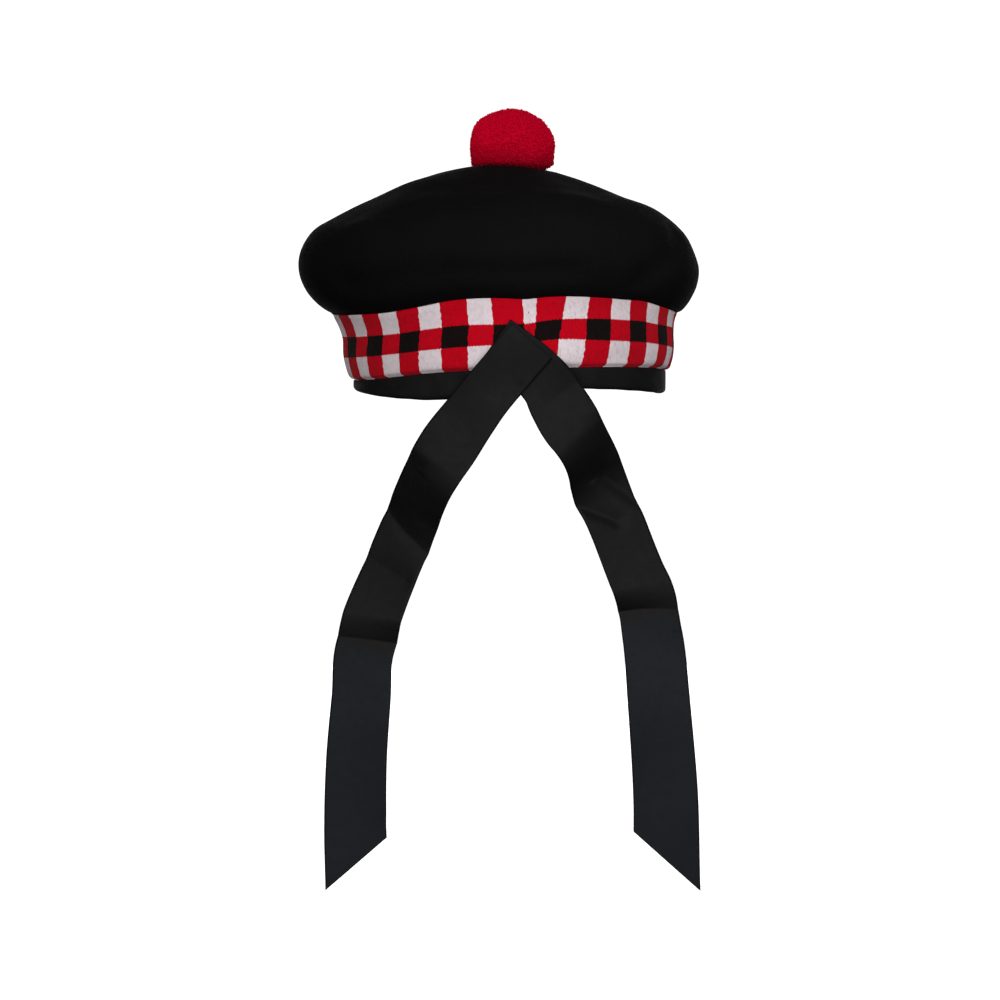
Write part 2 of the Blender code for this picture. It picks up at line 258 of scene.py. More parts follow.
BUN = table(
    "reach rise shift",
    (0.74, 0, 0.01),
    (0.955, 0.055, 0.018),
    (0.995, 0.14, 0.026),
    (1, 0.25, 0.022),
    (1.01, 0.37, 0.018),
    (0.98, 0.52, 0.01),
    (0.895, 0.67, -0.024),
    (0.69, 0.82, -0.042),
    (0.39, 0.94, -0.06),
    (0.19, 0.985, -0.06),
    (0, 1, -0.06),
)


def length(name, default, description):
    limits = {"min": 0.0001, "precision": 5, "subtype": "DISTANCE", "unit": "LENGTH"}
    return bpy.props.FloatProperty(name=name, description=description, default=default, **limits)


def colour(name, default, description):
    limits = {"size": 3, "min": 0.0, "max": 1.0, "subtype": "COLOR"}
    return bpy.props.FloatVectorProperty(name=name, description=description, default=default, **limits)


def number(name, default, description):
    return bpy.props.IntProperty(name=name, description=description, default=default, min=3)


class BonnetSizes(bpy.types.PropertyGroup):
    """Sizes that the bonnet's pieces share"""

    band_radius: length("Band Radius", 0.0910, "Radius of the diced band at its fullest")
    band_wall: length("Band Wall", 0.0026, "Thickness of the knit")
    dicing_height: length("Dicing Height", 0.0366, "Height of the three rows of checks")
    binding_radius: length("Binding Radius", 0.0858, "Outer radius of the taped rim")
    binding_height: length("Binding Height", 0.0105, "Height of the tape above the rim")
    tape_wall: length("Tape Wall", 0.0010, "Thickness of the binding tape")
    crown_radius: length("Crown Radius", 0.1096, "Radius of the crown at its widest")
    crown_rise: length("Crown Rise", 0.0774, "Height of the crown above its seam")
    crown_wall: length("Crown Wall", 0.0022, "Thickness of the felt")
    crown_slump: length("Crown Slump", 0.0022, "How far the crown leans down to the right")
    dimple_depth: length("Dimple Depth", 0.0033, "Depth of the dimple under the toorie")
    toorie_radius: length("Toorie Radius", 0.0236, "Radius of the toorie")
    toorie_height: length("Toorie Height", 0.0362, "Height of the toorie")
    toorie_shift: length("Toorie Shift", 0.0022, "How far the toorie sits to the right of the axis")
    ribbon_width: length("Ribbon Width", 0.0320, "Width of the ribbon")
    ribbon_wall: length("Ribbon Wall", 0.0010, "Thickness of the doubled ribbon")
    ribbon_cut: length("Ribbon Length", 0.3300, "Length that each tail was cut to")
    tail_drop: length("Tail Drop", 0.2730, "Height of a tail from its top to its tip")
    tail_spread: length("Tail Spread", 0.0810, "How far the tails spread to each side")
    tail_top: length("Tail Top", 0.0235, "Height of the tails' tops above the rim")
    tip_cut: length("Left Tip Cut", 0.0270, "Height of the slanting cut at the left tail's tip")
    right_tip_cut: length("Right Tip Cut", 0.0321, "Height of the slanting cut at the right tail's tip")
    clearance: length("Clearance", 0.0003, "Gap left between pieces")


class BonnetKnit(bpy.types.PropertyGroup):
    """How the diced band is knitted"""

    stitches: number("Stitches", 8, "Stitches across one check")
    wide: number("Wide Check", 9, "Stitches across the check before the join")
    narrow: number("Narrow Check", 5, "Stitches across the check at the join")
    courses: number("Courses", 9, "Rows of stitches up one check")
    relief: length("Stitch Relief", 0.00030, "How far a stitch stands out")
    unevenness: length("Unevenness", 0.00022, "How far a stitch sits to one side")


class BonnetColours(bpy.types.PropertyGroup):
    """Colours of the bonnet's wool, felt and ribbon"""

    felt: colour("Felt", (0.0040, 0.0035, 0.0037), "Felt of the crown")
    white_yarn: colour("White Yarn", (0.840, 0.735, 0.770), "White checks")
    red_yarn: colour("Red Yarn", (0.560, 0.0012, 0.0115), "Red checks")
    black_yarn: colour("Black Yarn", (0.0075, 0.0045, 0.0042), "Black checks")
    tape: colour("Tape", (0.0050, 0.0045, 0.0048), "Tape round the rim")
    toorie: colour("Toorie", (0.540, 0.0006, 0.0205), "Wool of the toorie")
    ribbon: colour("Ribbon", (0.0024, 0.0023, 0.0024), "Ribbon of the tails")
    # Painted light: this lighter, bluer colour below the ribbon's crease stands in for light, not for
    # fading.
    ribbon_lit_foot: colour("Ribbon Foot", (0.0034, 0.0048, 0.0074), "Faded lower part of the ribbon")


def curve(places, values, at, loop=0.0):
    """Values given at places, read elsewhere on a smooth curve; with a loop, the curve is closed."""
    if loop:
        places = np.concatenate([places - loop, places, places + loop])
        values = np.tile(values, 3)
    slopes = np.gradient(values, places)
    at = np.asarray(at, float)
    k = np.clip(np.searchsorted(places, at) - 1, 0, len(places) - 2)
    span = places[k + 1] - places[k]
    t = np.clip((at - places[k]) / span, 0, 1)
    rise = values[k] * (1 + 2 * t) * (1 - t) ** 2 + values[k + 1] * t * t * (3 - 2 * t)
    return rise + span * (slopes[k] * t * (1 - t) ** 2 - slopes[k + 1] * t * t * (1 - t))


def all_round(count):
    """This many turns, evenly spread round the axis."""
    return np.linspace(-180, 180, count, endpoint=False)


def path_run(points):
    """How far along a path each of its points lies."""
    return np.concatenate([[0], np.cumsum(np.linalg.norm(np.diff(points, axis=0), axis=-1))])


def grid_uv(across, down):
    """A grid's UVs, from where its columns and its rows lie on the cloth."""
    return np.stack(np.meshgrid(across, down), axis=-1)


def hoop(columns, radius):
    """Where the columns of a ring lie along it, the closing column included."""
    return np.radians(np.linspace(-180, 180, columns + 1)) * radius


def ease(low, high, at):
    """0 up to low, 1 from high on, smooth between."""
    t = np.clip((at - low) / (high - low), 0, 1)
    return t * t * (3 - 2 * t)


def around(turn, radius, shift, height):
    """Points at these turns on rings of these radii, whose middles are shifted along X."""
    angle = np.radians(turn)
    x = shift + radius * np.sin(angle)
    y = -radius * np.cos(angle)
    return np.stack(np.broadcast_arrays(x, y, height), axis=-1)


def rim_height(sizes, turn):
    return sizes.binding_height * curve(RIM_LINE.turn, RIM_LINE.rim, turn, 360)


def tape_height(sizes, turn):
    return sizes.binding_height * curve(RIM_LINE.turn, RIM_LINE.tape, turn, 360)


def seam_height(sizes, turn):
    above = curve(RIM_LINE.turn, RIM_LINE.seam, turn, 360)
    return tape_height(sizes, turn) + sizes.dicing_height * above


def crown_height(sizes):
    """The height of the crown's top above the rim."""
    return float(seam_height(sizes, np.arange(-180, 180, 5)).mean()) + sizes.crown_rise


def rim_shift(sizes):
    return BAND_ROWS.shift[0] * sizes.band_radius


def tucked_radius(sizes):
    return sizes.binding_radius - sizes.tape_wall - sizes.clearance


def fold_radius(sizes):
    """The outer radius of the tape's fold round the knit's lower edge."""
    return sizes.band_wall / 2 + sizes.clearance + sizes.tape_wall


def knit_radius(sizes, bulge):
    return tucked_radius(sizes) + bulge * (sizes.band_radius - tucked_radius(sizes))


def knit_form(sizes, lift):
    """The radius and shift of the knit's outer face at this lift."""
    bulge = curve(BAND_ROWS.lift, BAND_ROWS.bulge, lift)
    shift = curve(BAND_ROWS.lift, BAND_ROWS.shift, lift)
    return knit_radius(sizes, bulge), shift * sizes.band_radius


def soft_noise(points, seed, terms, reach, height):
    """A smooth field of waves in many directions, about this high; reach is its shortest wave's length."""
    rng = np.random.default_rng(seed)
    total = np.zeros(points.shape[:-1])
    for _ in range(terms):
        way = rng.normal(size=3)
        way *= 2 * math.pi / np.linalg.norm(way) / (reach * rng.uniform(1.0, 2.6))
        total += np.sin(points @ way + rng.uniform(0, 2 * math.pi))
    return total / math.sqrt(terms / 2) * height


def facing(grid, closed):
    """Unit normals of a grid of points, rows first; a closed grid's rows are rings."""
    if closed:
        along = np.roll(grid, -1, axis=1) - np.roll(grid, 1, axis=1)
    else:
        along = np.gradient(grid, axis=1)
    down = np.gradient(grid, axis=0)
    normal = np.cross(down, along)
    return normal / np.maximum(np.linalg.norm(normal, axis=-1, keepdims=True), 1e-12)


def off_line(here, line, scale):
    """How far places lie off a line between two places, as vectors in the scale's measure."""
    start, end = np.reshape(line[:4], (2, 2)) * scale
    run = end - start
    off = here * scale - start
    return off - np.clip(off @ run / (run @ run), 0, 1)[..., None] * run


def quads(rows, columns, closed, start, flip):
    """The faces of a grid of vertices, and the row and column of each face's corners."""
    across = columns if closed else columns - 1
    row, col = np.meshgrid(np.arange(rows - 1), np.arange(across), indexing="ij")
    row, col = row.ravel(), col.ravel()
    rows_at = np.stack([row, row + 1, row + 1, row], axis=-1)
    columns_at = np.stack([col, col, col + 1, col + 1], axis=-1)
    if flip:
        rows_at, columns_at = rows_at[:, ::-1], columns_at[:, ::-1]
    return start + rows_at * columns + columns_at % columns, (rows_at, columns_at)


# The corners of a pair of fan triangles: the end of its edge from which each takes its UV

FAN_CORNERS = 0, 0, 1, 0, 1, 0


def fans(columns, tips, rings):
    """Triangles from two tips to the rings of vertices that start here, the second fan's turned over."""
    edge = np.arange(columns)[:, None]
    after = (edge + 1) % columns
    first, second = rings
    over = np.hstack([edge * 0 + tips[0], first + edge, first + after])
    under = np.hstack([edge * 0 + tips[1], second + after, second + edge])
    return np.hstack([over, under]).reshape(-1, 3)


def mesh_of(name, points, faces, uvs, material):
    """A smooth shaded object from points, faces as lists of indices, and one UV for each face corner."""
    mesh = bpy.data.meshes.new(name)
    mesh.from_pydata(points.tolist(), [], faces)
    layer = mesh.uv_layers.new(name="cloth")
    layer.data.foreach_set("uv", np.asarray(uvs, np.float32).ravel())
    mesh.shade_smooth()
    mesh.materials.append(material)
    obj = bpy.data.objects.new(name, mesh)
    bpy.context.scene.collection.objects.link(obj)
    return obj


def shell(name, outer, inner, uv, material, closed=True, capped=False):
    """A closed wall between an outer and an inner grid with the same columns.

    Closed grids go round the bonnet, and open ones have side walls. A capped shell meets in its middle at
    its first row. uv gives the outer grid's UV at each row and column, the closing column included.
    """
    rows, columns = outer.shape[:2]
    points = [outer.reshape(-1, 3), inner.reshape(-1, 3)]
    inside = rows * columns
    match = np.linspace(0, rows - 1, len(inner)).round().astype(int)
    faces, uvs = [], []

    def put(face, row, col):
        faces.extend(face.tolist())
        uvs.append(uv[row, col].reshape(-1, 2))

    face, (row, col) = quads(rows, columns, closed, 0, False)
    put(face, row, col)
    face, (row, col) = quads(len(inner), columns, closed, inside, True)
    put(face, match[row], col)
    edge = np.arange(columns if closed else columns - 1)[:, None]
    after = (edge + 1) % columns
    last = (rows - 1) * columns
    last_inner = inside + (len(inner) - 1) * columns
    across = edge + [0, 0, 1, 1]
    put(np.hstack([last + edge, last_inner + edge, last_inner + after, last + after]), rows - 1, across)
    if capped:
        points += [outer[0].mean(0)[None], inner[0].mean(0)[None]]
        middle = inside + len(inner) * columns
        put(fans(columns, (middle, middle + 1), (0, inside)), 0, edge + FAN_CORNERS)
    else:
        put(np.hstack([after, inside + after, inside + edge, edge]), 0, across)
    if not closed:
        side = np.arange(rows - 1)[:, None] + [0, 1, 1, 0]
        for col, step in ((0, -1), (columns - 1, 1)):
            wall = side * columns + col + [0, 0, inside, inside]
            put(wall[:, ::step], side, col)
    return mesh_of(name, np.concatenate(points), faces, np.concatenate(uvs), material)


def solid(name, grid, uv, material):
    """A closed body from rings of points, capped at both ends."""
    rows, columns = grid.shape[:2]
    points = np.concatenate([grid.reshape(-1, 3), grid[0].mean(0)[None], grid[-1].mean(0)[None]])
    face, (row, col) = quads(rows, columns, True, 0, False)
    top = rows * columns
    caps = fans(columns, (top, top + 1), (0, top - columns))
    edge = np.arange(columns)[:, None] + FAN_CORNERS
    uvs = [uv[row, col].reshape(-1, 2), uv[[0, 0, 0, -1, -1, -1], edge].reshape(-1, 2)]
    return mesh_of(name, points, face.tolist() + caps.tolist(), np.concatenate(uvs), material)


def add_node(tree, kind, settings=None, **inputs):
    """A node with its settings, its plain values and its links; _0 stands for its first input."""
    node = tree.nodes.new(kind)
    for key, value in (settings or {}).items():
        setattr(node, key, value)
    for key, value in inputs.items():
        socket = node.inputs[int(key[1:])] if key[0] == "_" else node.inputs[key.replace("_", " ")]
        if isinstance(value, bpy.types.NodeSocket):
            tree.links.new(value, socket)
        else:
            socket.default_value = value
    return node


class Shade:
    """A material's nodes, added and linked in one place."""

    def __init__(self, name, base, roughness, specular, sheen=0.0):
        self.material = bpy.data.materials.new(name)
        self.material.use_nodes = True
        self.tree = self.material.node_tree
        self.shader = self.tree.nodes["Principled BSDF"]
        self.set("Base Color", (*base, 1))
        self.set("Roughness", roughness)
        self.set("Specular IOR Level", specular)
        self.set("Sheen Weight", sheen)
        self.set("Sheen Roughness", 0.5)

    def set(self, name, value):
        self.shader.inputs[name].default_value = value

    def add(self, kind, settings=None, **inputs):
        return add_node(self.tree, "ShaderNode" + kind, settings, **inputs)

    def math(self, operation, *values):
        inputs = {f"_{i}": value for i, value in enumerate(values)}
        return self.add("Math", {"operation": operation}, **inputs).outputs[0]

    def wave(self, value, pitch):
        """A sine wave of this pitch along a value."""
        return self.math("SINE", self.math("MULTIPLY", value, 2 * math.pi / pitch))

    def mix(self, share, first, second):
        return self.add("Mix", {"data_type": "RGBA"}, _0=share, _6=first, _7=second).outputs[2]

    def noise(self, vector, scale, detail=3.0, roughness=0.6):
        node = self.add("TexNoise", Vector=vector, Scale=scale, Detail=detail, Roughness=roughness)
        return node.outputs["Fac"]

    def ranged(self, value, low, high, start=0.0, end=1.0, kind="LINEAR"):
        """A value that runs from start to end, brought to the range from low to high."""
        limits = {"From_Min": start, "From_Max": end, "To_Min": low, "To_Max": high}
        node = self.add("MapRange", {"interpolation_type": kind}, Value=value, **limits)
        return node.outputs["Result"]

    def place(self, source="Object"):
        return self.add("TexCoord").outputs[source]

    def axes(self, vector):
        return self.add("SeparateXYZ", Vector=vector).outputs

    def bump(self, height, strength, distance, **under):
        """Normals for a height, laid over the normals given as Normal."""
        node = self.add("Bump", Height=height, Strength=strength, Distance=distance, **under)
        return node.outputs["Normal"]

    def finish(self, base=None, roughness=None, normal=None):
        for name, value in (("Base Color", base), ("Roughness", roughness), ("Normal", normal)):
            if value is not None:
                self.tree.links.new(value, self.shader.inputs[name])
        return self.material


# Pitches of the weaves, and the ribbon's ribs from its middle to its selvedges, in metres

TWILL_PITCH = 0.0009
TAPE_PITCH = 0.0006
RIB_PITCH = 0.0008
SELVEDGE_MIDDLE = 0.016
RIB_REACH = 0.0148


def lighter(tone, share):
    """The tone brought this share of the way to white, as a colour with alpha."""
    return (*[value + (1 - value) * share for value in tone], 1)


def darker(tone, share):
    return (*[value * (1 - share) for value in tone], 1)


def felt_finish(tone):
    """Felted wool: matted fibres, a soft mottle, and painted shade that darkens it towards -X."""
    shade = Shade("felt_wool", tone, 0.95, specular=0.03)
    where = shade.place()
    fibres = shade.noise(where, 1500, 5, 0.7)
    mat = shade.noise(where, 420, 3, 0.6)
    mottle = shade.noise(where, 34, 2)
    base = shade.mix(shade.ranged(mottle, 0.0, 1.0), darker(tone, 0.25), lighter(tone, 0.001))
    base = shade.mix(shade.ranged(fibres, -0.6, 1.3), base, lighter(tone, 0.003))
    # Painted shade: the felt is darkened towards -X, on the side where less light falls on the crown.
    painted_left_shade = shade.ranged(shade.axes(where)["X"], 0.0, 0.28, 0.05, -0.10)
    base = shade.mix(painted_left_shade, base, darker(tone, 1))
    normal = shade.bump(mat, 0.5, 0.0005)
    normal = shade.bump(fibres, 0.45, 0.0002, Normal=normal)
    return shade.finish(base, shade.ranged(mat, 0.84, 1.0), normal)


def knit_finish(colours):
    """Knitted wool: the faces say which of its three yarns they are, fine plies run up each stitch, and
    painted shade darkens the gaps between stitches.
    """
    shade = Shade("diced_knit", colours.red_yarn, 0.9, sheen=0.03, specular=0.03)
    where = shade.place()
    yarn = shade.add("Attribute", {"attribute_name": "yarn"}).outputs["Fac"]
    fuzz = shade.noise(where, 2600, 4, 0.7)
    patch = shade.noise(where, 240, 3, 0.7)
    tones = (colours.white_yarn, colours.red_yarn, colours.black_yarn)
    fuzzy = shade.ranged(fuzz, 0.0, 0.5)
    white, red, black = [shade.mix(fuzzy, (*tone, 1), darker(tone, 0.35)) for tone in tones]
    base = shade.mix(shade.math("GREATER_THAN", yarn, 0.25), white, red)
    base = shade.mix(shade.math("GREATER_THAN", yarn, 0.75), base, black)
    base = shade.mix(shade.ranged(patch, -0.20, 0.22), base, (0.02, 0.015, 0.015, 1))
    x, y, _ = shade.axes(shade.place("UV"))
    slope = shade.math("MULTIPLY_ADD", shade.math("PINGPONG", x, 0.5), 1.6, y)
    plies = shade.wave(slope, 1 / 3)
    wale = shade.math("MULTIPLY_ADD", shade.math("PINGPONG", x, 0.25), -4.0, 1.0)
    course = shade.math("COSINE", shade.math("MULTIPLY", slope, math.pi))
    gap = shade.math("POWER", shade.math("ABSOLUTE", course), 5.0)
    # Painted shade: the base is darkened in the gaps between the stitches' legs and between the courses,
    # where shade falls.
    painted_groove_shade = shade.math("MAXIMUM", shade.math("MULTIPLY", wale, 0.4), gap)
    painted_groove_shade = shade.math("MULTIPLY", painted_groove_shade, shade.ranged(shade.noise(where, 620, 3), -0.5, 1.4))
    base = shade.mix(painted_groove_shade, base, shade.mix(0.5, base, (0.0, 0.0, 0.0, 1)))
    normal = shade.bump(plies, 0.25, 0.00008)
    normal = shade.bump(fuzz, 0.4, 0.00018, Normal=normal)
    return shade.finish(base, shade.ranged(fuzz, 0.8, 1.0), normal)


def tape_finish(tone):
    """Woven tape: a fine slanting twill, a little worn in soft patches."""
    shade = Shade("woven_tape", tone, 0.75, specular=0.08)
    where = shade.place()
    x, y, _ = shade.axes(shade.place("UV"))
    twill = shade.wave(shade.math("ADD", x, y), TWILL_PITCH)
    fuzz = shade.noise(where, 2200, 4, 0.7)
    wear = shade.noise(where, 90, 3)
    base = shade.mix(shade.ranged(wear, -0.4, 1.0), (*tone, 1), lighter(tone, 0.006))
    normal = shade.bump(twill, 0.35, 0.00012)
    normal = shade.bump(shade.wave(x, TAPE_PITCH), 0.15, 0.00008, Normal=normal)
    normal = shade.bump(fuzz, 0.3, 0.00012, Normal=normal)
    return shade.finish(base, shade.ranged(fuzz, 0.62, 0.9), normal)


def ribbon_finish(tone, foot):
    """Ribbed ribbon: cross ribs between smooth selvedges, a dull gloss, and painted light that makes it
    lighter and bluer below its crease.
    """
    shade = Shade("ribbed_ribbon", tone, 0.5, specular=0.125)
    where = shade.place()
    x, y, _ = shade.axes(shade.place("UV"))
    edge = shade.math("ABSOLUTE", shade.math("SUBTRACT", x, SELVEDGE_MIDDLE))
    ribs = shade.math("MULTIPLY", shade.wave(y, RIB_PITCH), shade.math("LESS_THAN", edge, RIB_REACH))
    slub = shade.noise(where, 260, 3)
    cloudy = shade.noise(where, 38, 3)
    # Painted light: below its crease the ribbon takes a lighter, bluer colour that stands in for the light
    # falling there.
    painted_light = shade.ranged(y, 0.0, 1.0, 0.0, 0.014, kind="SMOOTHSTEP")
    base = shade.mix(painted_light, (*tone, 1), (*foot, 1))
    base = shade.mix(shade.ranged(cloudy, 0.0, 0.3), base, darker(tone, 0.5))
    normal = shade.bump(ribs, 0.14, 0.00008)
    normal = shade.bump(slub, 0.15, 0.0003, Normal=normal)
    return shade.finish(base, shade.ranged(slub, 0.48, 0.66), normal)


def pile_finish(tone, foot, height):
    """Cut wool pile: fine strands, painted shade between the yarn ends and towards its foot, and painted
    light on its -X side.
    """
    shade = Shade("wool_pile", tone, 0.92, sheen=1.0, specular=0.02)
    shade.set("Sheen Tint", (1, 0.01, 0.04, 1))
    shade.set("Sheen Roughness", 0.35)
    where = shade.place()
    strands = shade.noise(where, 2400, 4, 0.7)
    clumps = shade.noise(where, 260, 3)
    # Painted shade: the clump and strand noises darken the wool between the yarn ends, where shade falls
    # among the tufts.
    base = shade.mix(shade.ranged(clumps, 0.0, 0.4), (*tone, 1), darker(tone, 0.25))
    base = shade.mix(shade.ranged(strands, 0.0, 0.25), base, darker(tone, 0.4))
    x, _, z = shade.axes(where)
    # Painted light: the toorie's wool is made lighter towards -X, where less light reaches its side.
    painted_light = shade.ranged(x, 0.0, 0.5, -0.006, -0.015)
    base = shade.mix(painted_light, base, (*[1.3 * value for value in tone], 1))
    # Painted shade: the wool darkens towards its foot, where the crown shades it.
    depth = shade.ranged(z, 0.0, 1.0, foot + 0.60 * height, foot + 0.14 * height)
    base = shade.mix(shade.math("POWER", depth, 2.6), base, darker(tone, 0.42))
    normal = shade.bump(strands, 0.5, 0.0002)
    return shade.finish(base, shade.ranged(strands, 0.82, 1.0), normal)


def settle(obj, slot, *nodes):
    """A finished piece: it rides with the bonnet and stands for its nodes; its slot is not used."""
    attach(obj, BODY)
    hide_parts(*nodes)
    return obj


# The crown

CROWN_RINGS = 150
CROWN_COLUMNS = 360
CROWN_INNER_RINGS = 40

# Brings the highest value of rise x (1 - rise)^2 to 1

SLUMP_SCALE = 27 / 4

# From where to where the dimple's side slopes, in shares of the toorie's radius

DIMPLE_SIDE = 0.72, 1.2

# From where to where up the crown the creases set in, the felt works loose and is drawn tight again

CREASED = 0.0, 0.1
LOOSE = 0.02, 0.3
TIGHT = 0.9, 1.0

# The felt's unevenness, a wide and a close one: seed, number of waves, shortest wave and height

CROWN_SWELLS = (11, 14, 0.045, 0.00055), (12, 20, 0.016, 0.00016)


def crown_profile(sizes, count):
    """Radius, rise and shift down the crown, evenly spaced along its wall."""
    lip = knit_radius(sizes, BAND_ROWS.bulge[-1])
    under = lip + CROWN_UNDERSIDE.reach * (sizes.crown_radius - lip)
    radius = np.concatenate([CROWN_TOP.reach * sizes.crown_radius, under])
    rise = np.concatenate([CROWN_TOP.rise, CROWN_UNDERSIDE.rise])
    shift = np.concatenate([CROWN_TOP.shift, CROWN_UNDERSIDE.shift]) * sizes.crown_radius
    run = path_run(np.stack([radius, rise * sizes.crown_rise], axis=-1))
    at = np.linspace(run[1] / 2, run[-1], count)
    return at, [curve(run, values, at) for values in (radius, rise, shift)]


def crease_depth(sizes, turn, rise):
    """How far the soft creases draw the crown's wall in."""
    here = np.stack(np.broadcast_arrays(turn, rise), axis=-1)
    depth = np.zeros(here.shape[:-1])
    for crease in CREASES:
        away = np.linalg.norm(off_line(here, crease, (math.pi / 180, 1)), axis=-1) / crease.width
        depth += sizes.crown_rise * crease.depth * np.exp(-away * away)
    return depth


def crown_grid(sizes):
    turn = all_round(CROWN_COLUMNS)
    at, profile = crown_profile(sizes, CROWN_RINGS)
    radius, rise, shift = [values[:, None] for values in profile]
    seam = seam_height(sizes, turn) + sizes.clearance
    height = seam + rise * (crown_height(sizes) - seam)
    slump = sizes.crown_slump * np.sin(np.radians(turn))
    height = height - slump * SLUMP_SCALE * rise * (1 - rise) ** 2
    radius = radius - crease_depth(sizes, turn, rise) * ease(*CREASED, rise)
    grid = around(turn, radius, shift, height)
    from_toorie = np.hypot(grid[..., 0] - sizes.toorie_shift, grid[..., 1]) / sizes.toorie_radius
    grid[..., 2] -= sizes.dimple_depth * (1 - ease(*DIMPLE_SIDE, from_toorie))
    return at, rise, grid


class BALMORAL_OT_crown(bpy.types.Operator):
    """Make the crown of felted wool, with its soft creases and its dimple"""

    bl_idname = "balmoral.crown"
    bl_label = "Make Crown"

    def execute(self, context):
        sizes = context.scene.bonnet_sizes
        at, rise, grid = crown_grid(sizes)
        loose = ease(*LOOSE, rise) * (1 - ease(*TIGHT, rise) / 2)
        swell = sum(soft_noise(grid, *field) for field in CROWN_SWELLS)
        grid = grid + facing(grid, True) * (swell * loose)[..., None]
        pick = np.linspace(0, CROWN_RINGS - 1, CROWN_INNER_RINGS).round().astype(int)
        inner = (grid - facing(grid, True) * sizes.crown_wall)[pick]
        uv = grid_uv(hoop(CROWN_COLUMNS, sizes.crown_radius), at)
        felt = felt_finish(context.scene.bonnet_colours.felt)
        settle(shell("felt_crown", grid, inner, uv, felt, capped=True), "crown_felt", "crown")
        return {"FINISHED"}


# The diced band

# A stitch's four columns: how far each stands out, and how far it slants in courses.
# A course's two lines stand out by the bulges, and the relief fades over this many courses at the edges.

LEGS = np.array([0.0, 1.0, -0.25, 1.0])
SKEWS = np.array([0.24, 0.0, -0.24, 0.0])
BULGES = np.array([0.35, 1.0])
KNIT_RELIEF_FADE = 1.5

# Between these lifts a stitch's relief is full; how far the knit is drawn in, and its unevenness

RELIEF_FROM = 0.12
RELIEF_TO = 0.92
KNIT_INSET = 0.00005
KNIT_SWAY = 21, 12, 0.03, 0.00025

# The row of checks, -1 for none, of each further row of faces: the outer hem, the inner side with its
# hem, the lower edge and the upper edge; and what keeps a place from being rounded down by one check

INNER_ROWS = -1, 2.5, 1.5, 0.5, -1, -1, 2.5
ROUNDING = 1e-6


def check_of(knit, stitch):
    """The place of a stitch in checks, counted from the join."""
    edges = [0, knit.wide, knit.wide + knit.narrow]
    edges += [edges[-1] + knit.stitches * (k + 1) for k in range(CHECKS_AROUND - 2)]
    return np.interp(stitch, edges, np.arange(CHECKS_AROUND + 1))


def knit_turn(count, row):
    """The turn of a place counted in checks, at this height in rows of checks above the tape."""
    edges = CHECK_EDGES.edge
    spread = 360 / CHECKS_AROUND
    wrapped = (count - edges[0]) % CHECKS_AROUND + edges[0]
    top, foot = [
        count * spread + curve(edges, turns - edges * spread, wrapped, CHECKS_AROUND)
        for turns in (CHECK_EDGES.top, CHECK_EDGES.foot)
    ]
    return foot + np.clip(row / CHECK_ROWS, 0, 1) * (top - foot)


def knit_grid(sizes, knit):
    """The knit's outer face from the seam to the tape, with its turns, course lines and check places."""
    around_stitches = knit.wide + knit.narrow + knit.stitches * (CHECKS_AROUND - 2)
    quarter = np.arange(around_stitches * 4)
    phase = quarter % 4
    count = check_of(knit, quarter / 4)
    courses = knit.courses * CHECK_ROWS
    half = np.arange(2 * courses, -1, -1)[:, None]
    fade = np.clip(np.minimum(half, 2 * courses - half) / 2 / KNIT_RELIEF_FADE, 0, 1)
    course = half / 2 + SKEWS[phase] * fade
    turn = knit_turn(count, half / 2 / knit.courses)
    uneven = np.random.default_rng(22).uniform(-1, 1, (len(half), around_stitches))
    uneven += np.roll(uneven, 1, axis=0)
    turn = turn + np.degrees(np.repeat(uneven, 4, axis=1) * knit.unevenness / sizes.band_radius) * fade
    tape = tape_height(sizes, turn) + sizes.clearance
    low = curve(CHECK_LINES.turn, CHECK_LINES.low, turn, 360)
    high = curve(CHECK_LINES.turn, CHECK_LINES.high, turn, 360)
    row = course / knit.courses
    lift = np.clip(row, 0, 1) * low
    lift = lift + np.clip(row - 1, 0, 1) * (high - low) + np.clip(row - 2, 0, 1) * (1 - high)
    height = lift * (seam_height(sizes, turn) - tape)
    radius, shift = knit_form(sizes, lift)
    sway = soft_noise(around(turn, radius, 0, height), *KNIT_SWAY) - KNIT_INSET
    fade = ease(0.0, RELIEF_FROM, lift) * (1 - ease(RELIEF_TO, 1.0, lift))
    stitch = knit.relief * LEGS[phase] * BULGES[half % 2] * fade
    return around(turn, radius + stitch + sway * fade, shift, tape + height), turn, half[:, 0] / 2, count


def yarn_of(check, row):
    """Which yarn a check is knitted in: 0 white, 0.5 red, 1 black."""
    even = np.floor(check).astype(int) % 2 == 0
    middle = np.floor(row).astype(int) == 1
    return np.where(middle, np.where(even, 1.0, 0.5), np.where(even, 0.5, 0.0))


